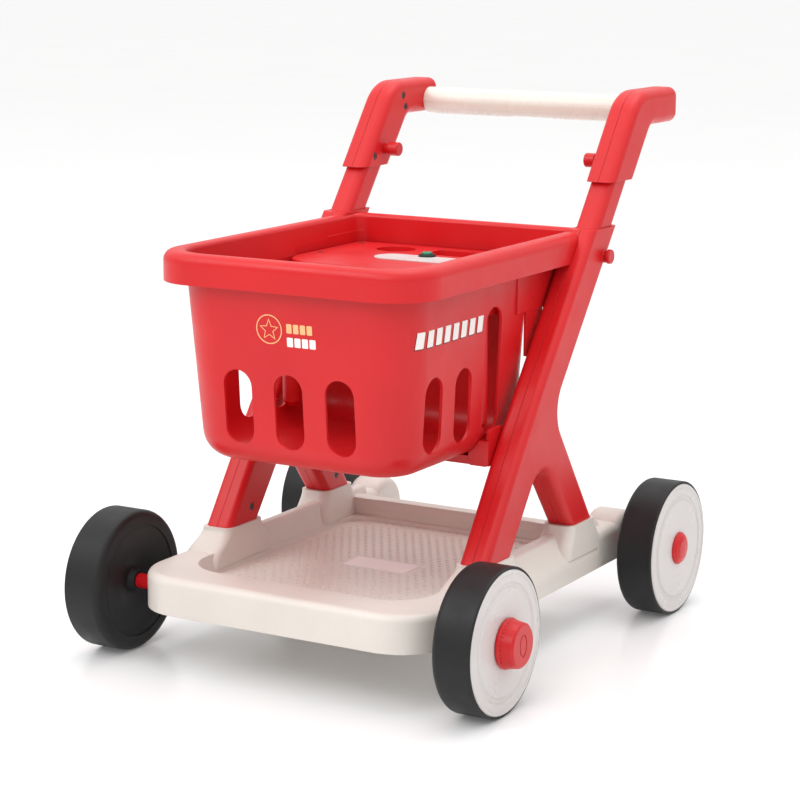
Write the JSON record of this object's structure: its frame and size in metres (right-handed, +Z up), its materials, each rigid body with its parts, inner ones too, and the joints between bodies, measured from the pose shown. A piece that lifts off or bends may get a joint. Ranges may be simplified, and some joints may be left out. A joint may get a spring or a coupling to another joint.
{
  "type": "toy shopping cart",
  "caption": "Toy push cart for a toddler: slotted basket with a button console between two leaning frames, low tray, large wheels and a push handle that slides.",
  "frame": {"origin": "on the floor under the middle of the cart", "axes": "+Z up, the front of the cart towards -Y, the push handle towards +Y"},
  "size_m": [0.432, 0.5116, 0.482],
  "materials": {
    "red_plastic": "satin",
    "red_fittings": "gloss",
    "cream_plastic": "satin",
    "grip_plastic": "gloss",
    "white_plastic": "satin",
    "dark_plastic": "matte",
    "tyre_black": "satin",
    "green_plastic": "gloss",
    "screw_steel": "satin",
    "axle_steel": "satin",
    "board": "matte",
    "speaker_body": "matte",
    "cell_case": "gloss"
  },
  "bodies": {
    "chassis": {"base_tray": "cream_plastic", "tray_label_plate": "cream_plastic", "frame_inner_left": "red_plastic", "frame_inner_right": "red_plastic", "frame_outer_left": "red_plastic", "frame_outer_right": "red_plastic", "frame_screws": "screw_steel", "basket": "red_plastic", "cross_beam": "red_plastic", "console_housing": "red_plastic", "console_lid": "red_plastic", "console_panel": "white_plastic", "console_screws": "screw_steel", "sound_board": "board", "speaker": "speaker_body", "battery_cells": "cell_case", "battery_cover": "red_plastic", "button_bezel": "dark_plastic", "button_spring": "screw_steel", "front_axle": "axle_steel", "rear_axle": "axle_steel", "push_nuts": "screw_steel", "axle_spacers": "red_fittings"},
    "handle": {"slide_tube_left": "red_plastic", "slide_tube_right": "red_plastic", "bracket_inner_left": "red_plastic", "bracket_inner_right": "red_plastic", "bracket_outer_left": "red_plastic", "bracket_outer_right": "red_plastic", "bracket_screws": "screw_steel", "handle_bar": "grip_plastic"},
    "lock_pin_left": {"lock_pin_left": "red_fittings"},
    "lock_pin_right": {"lock_pin_right": "red_fittings"},
    "release_left": {"release_button_left": "red_fittings"},
    "release_right": {"release_button_right": "red_fittings"},
    "sound_button": {"green_button": "green_plastic"},
    "wheel_front_left": {"tyre_front_left": "tyre_black", "wheel_core_front_left": "dark_plastic", "hub_disc_front_left": "white_plastic"},
    "wheel_front_right": {"tyre_front_right": "tyre_black", "wheel_core_front_right": "dark_plastic", "hub_disc_front_right": "white_plastic"},
    "wheel_rear_left": {"tyre_rear_left": "tyre_black", "wheel_core_rear_left": "dark_plastic", "hub_disc_rear_left": "white_plastic", "hub_cap_left": "red_fittings"},
    "wheel_rear_right": {"tyre_rear_right": "tyre_black", "wheel_core_rear_right": "dark_plastic", "hub_disc_rear_right": "white_plastic", "hub_cap_right": "red_fittings"},
    "knob_left": {"hub_knob_left": "red_fittings"},
    "knob_right": {"hub_knob_right": "red_fittings"}
  },
  "joints": [
    {"name": "handle_height", "type": "slide", "parent": "chassis", "child": "handle", "axis": [0, 0.611, 0.7916], "range_m": [-0.048, 0]},
    {"name": "lock_pin_left_pull", "type": "slide", "parent": "handle", "child": "lock_pin_left", "axis": [-1, 0, 0], "range_m": [0, 0.005], "stiffness_N_per_m": 400},
    {"name": "release_left_press", "type": "slide", "parent": "chassis", "child": "release_left", "axis": [-1, 0, 0], "range_m": [0, 0.002], "stiffness_N_per_m": 500},
    {"name": "lock_pin_right_pull", "type": "slide", "parent": "handle", "child": "lock_pin_right", "axis": [1, 0, 0], "range_m": [0, 0.005], "stiffness_N_per_m": 400},
    {"name": "release_right_press", "type": "slide", "parent": "chassis", "child": "release_right", "axis": [1, 0, 0], "range_m": [0, 0.002], "stiffness_N_per_m": 500},
    {"name": "sound_button_press", "type": "slide", "parent": "chassis", "child": "sound_button", "axis": [0, 0, -1], "range_m": [0, 0.0025], "stiffness_N_per_m": 300, "deforming": ["button_spring"]},
    {"name": "wheel_front_left_spin", "type": "hinge", "parent": "chassis", "child": "wheel_front_left", "pos_m": [0.182, -0.1933, 0.0625], "axis": [1, 0, 0], "continuous": true},
    {"name": "wheel_front_right_spin", "type": "hinge", "parent": "chassis", "child": "wheel_front_right", "pos_m": [-0.182, -0.1933, 0.0625], "axis": [1, 0, 0], "continuous": true},
    {"name": "wheel_rear_left_spin", "type": "hinge", "parent": "chassis", "child": "wheel_rear_left", "pos_m": [0.182, 0.1529, 0.0625], "axis": [1, 0, 0], "continuous": true},
    {"name": "wheel_rear_right_spin", "type": "hinge", "parent": "chassis", "child": "wheel_rear_right", "pos_m": [-0.182, 0.1529, 0.0625], "axis": [1, 0, 0], "continuous": true},
    {"name": "knob_left_turn", "type": "hinge", "parent": "wheel_front_left", "child": "knob_left", "pos_m": [0.208, -0.1933, 0.0625], "axis": [1, 0, 0], "range_deg": [0, 90]},
    {"name": "knob_right_turn", "type": "hinge", "parent": "wheel_front_right", "child": "knob_right", "pos_m": [-0.208, -0.1933, 0.0625], "axis": [1, 0, 0], "range_deg": [0, 90]}
  ]
}
